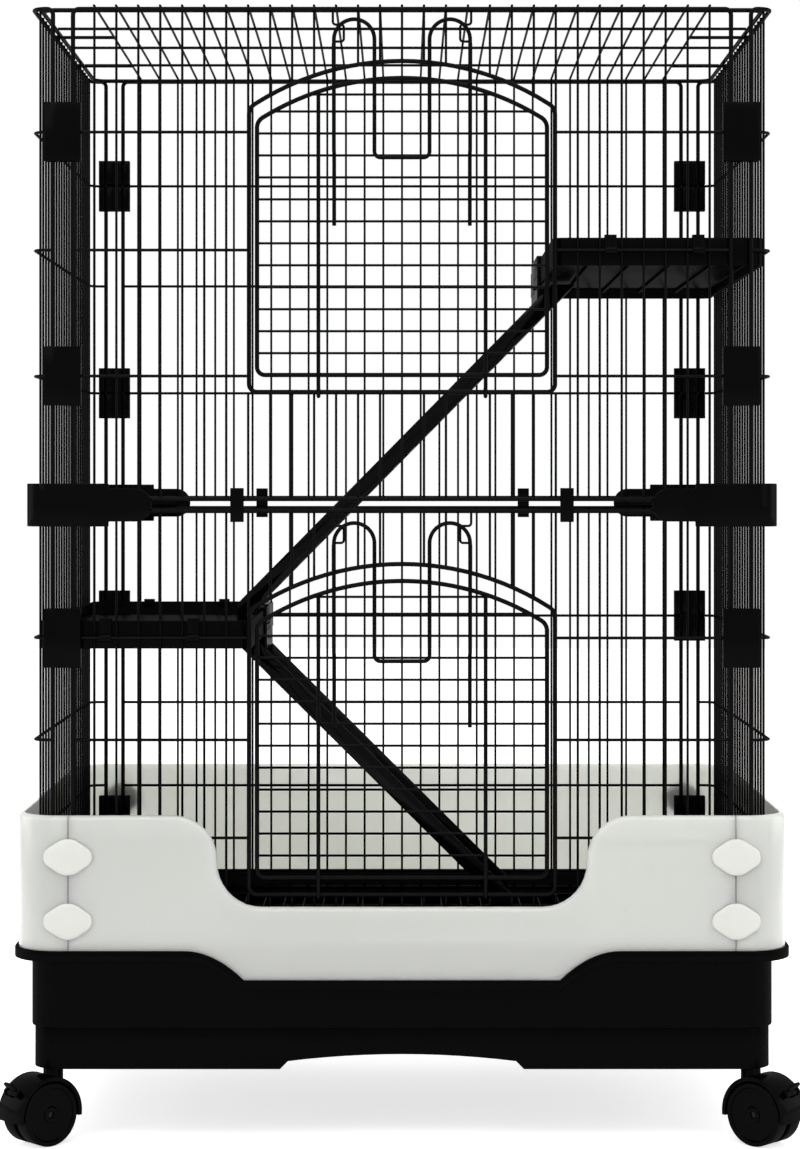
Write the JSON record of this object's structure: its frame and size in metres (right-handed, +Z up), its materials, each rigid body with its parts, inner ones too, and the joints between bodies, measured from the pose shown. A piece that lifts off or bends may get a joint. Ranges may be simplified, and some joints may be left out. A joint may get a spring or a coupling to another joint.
{
  "type": "small pet cage",
  "caption": "Tall two-storey wire pet cage on a deep tray with casters, with arched drop doors, sliding wire latches, shelves, ramps and a clip-on splash guard.",
  "frame": {"origin": "on the floor below the middle of the base", "axes": "+X to the right as seen from the front, +Y to the back, +Z up"},
  "size_m": [0.8068, 0.5654, 1.1408],
  "materials": {
    "wire_coating": "glossy black powder coat on steel wire",
    "base_plastic": "moulded black plastic with a soft sheen",
    "guard_plastic": "glossy off-white moulded plastic",
    "guard_clip_plastic": "white moulded plastic clips",
    "shelf_plastic": "satin black moulded plastic",
    "clip_plastic": "smooth black moulded plastic",
    "caster_plastic": "smooth black nylon",
    "steel": "plain steel axle"
  },
  "bodies": {
    "cage": {"base_stand": "base_plastic", "base_pan": "base_plastic", "floor_grid": "wire_coating", "guard_front": "guard_plastic", "guard_rear": "guard_plastic", "guard_left": "guard_plastic", "guard_right": "guard_plastic", "guard_clips": "guard_clip_plastic", "lower_front_panel": "wire_coating", "lower_rear_panel": "wire_coating", "lower_left_panel": "wire_coating", "lower_right_panel": "wire_coating", "upper_front_panel": "wire_coating", "upper_rear_panel": "wire_coating", "upper_left_panel": "wire_coating", "upper_right_panel": "wire_coating", "top_panel": "wire_coating", "corner_clips_front_left": "clip_plastic", "corner_clips_front_right": "clip_plastic", "corner_clips_rear_left": "clip_plastic", "corner_clips_rear_right": "clip_plastic", "storey_joint_front_left": "clip_plastic", "storey_joint_front_right": "clip_plastic", "storey_joint_rear_left": "clip_plastic", "storey_joint_rear_right": "clip_plastic", "rail_clips_front": "clip_plastic", "rail_clips_rear": "clip_plastic", "lower_shelf": "shelf_plastic", "upper_shelf": "shelf_plastic", "lower_shelf_clips": "clip_plastic", "upper_shelf_clips": "clip_plastic", "lower_ramp": "shelf_plastic", "upper_ramp": "shelf_plastic"},
    "caster_front_left": {"caster_hood_front_left": "caster_plastic", "caster_axle_front_left": "steel"},
    "wheels_front_left": {"caster_wheels_front_left": "caster_plastic"},
    "pedal_front_left": {"brake_pedal_front_left": "caster_plastic"},
    "caster_front_right": {"caster_hood_front_right": "caster_plastic", "caster_axle_front_right": "steel"},
    "wheels_front_right": {"caster_wheels_front_right": "caster_plastic"},
    "pedal_front_right": {"brake_pedal_front_right": "caster_plastic"},
    "caster_rear_left": {"caster_hood_rear_left": "caster_plastic", "caster_axle_rear_left": "steel"},
    "wheels_rear_left": {"caster_wheels_rear_left": "caster_plastic"},
    "caster_rear_right": {"caster_hood_rear_right": "caster_plastic", "caster_axle_rear_right": "steel"},
    "wheels_rear_right": {"caster_wheels_rear_right": "caster_plastic"},
    "lower_door": {"lower_door": "wire_coating"},
    "lower_latch": {"lower_door_latch": "wire_coating"},
    "upper_door": {"upper_door": "wire_coating"},
    "upper_latch": {"upper_door_latch": "wire_coating"}
  },
  "joints": [
    {"name": "swivel_front_left", "type": "hinge", "parent": "cage", "child": "caster_front_left", "pos_m": [-0.351, -0.232, 0.08], "axis": [0, 0, 1], "continuous": true},
    {"name": "roll_front_left", "type": "hinge", "parent": "caster_front_left", "child": "wheels_front_left", "pos_m": [-0.3627, -0.24291, 0.0315], "axis": [0.682, -0.7314, 0], "continuous": true},
    {"name": "brake_front_left", "type": "hinge", "parent": "caster_front_left", "child": "pedal_front_left", "pos_m": [-0.38696, -0.26553, 0.0556], "axis": [0.682, -0.7314, 0], "range_deg": [0, 12]},
    {"name": "swivel_front_right", "type": "hinge", "parent": "cage", "child": "caster_front_right", "pos_m": [0.351, -0.232, 0.08], "axis": [0, 0, 1], "continuous": true},
    {"name": "roll_front_right", "type": "hinge", "parent": "caster_front_right", "child": "wheels_front_right", "pos_m": [0.3627, -0.24291, 0.0315], "axis": [0.682, 0.7314, 0], "continuous": true},
    {"name": "brake_front_right", "type": "hinge", "parent": "caster_front_right", "child": "pedal_front_right", "pos_m": [0.38696, -0.26553, 0.0556], "axis": [0.682, 0.7314, 0], "range_deg": [0, 12]},
    {"name": "swivel_rear_left", "type": "hinge", "parent": "cage", "child": "caster_rear_left", "pos_m": [-0.351, 0.232, 0.08], "axis": [0, 0, 1], "continuous": true},
    {"name": "roll_rear_left", "type": "hinge", "parent": "caster_rear_left", "child": "wheels_rear_left", "pos_m": [-0.3627, 0.24291, 0.0315], "axis": [-0.682, -0.7314, 0], "continuous": true},
    {"name": "swivel_rear_right", "type": "hinge", "parent": "cage", "child": "caster_rear_right", "pos_m": [0.351, 0.232, 0.08], "axis": [0, 0, 1], "continuous": true},
    {"name": "roll_rear_right", "type": "hinge", "parent": "caster_rear_right", "child": "wheels_rear_right", "pos_m": [0.3627, 0.24291, 0.0315], "axis": [-0.682, 0.7314, 0], "continuous": true},
    {"name": "lower_door_hinge", "type": "hinge", "parent": "cage", "child": "lower_door", "pos_m": [0, -0.25, 0.25], "axis": [1, 0, 0], "range_deg": [0, 90]},
    {"name": "lower_latch_slide", "type": "slide", "parent": "lower_door", "child": "lower_latch", "axis": [0, 0, 1], "range_m": [0, 0.012]},
    {"name": "upper_door_hinge", "type": "hinge", "parent": "cage", "child": "upper_door", "pos_m": [0, -0.25, 0.753], "axis": [1, 0, 0], "range_deg": [0, 165]},
    {"name": "upper_latch_slide", "type": "slide", "parent": "upper_door", "child": "upper_latch", "axis": [0, 0, 1], "range_m": [0, 0.012]}
  ]
}
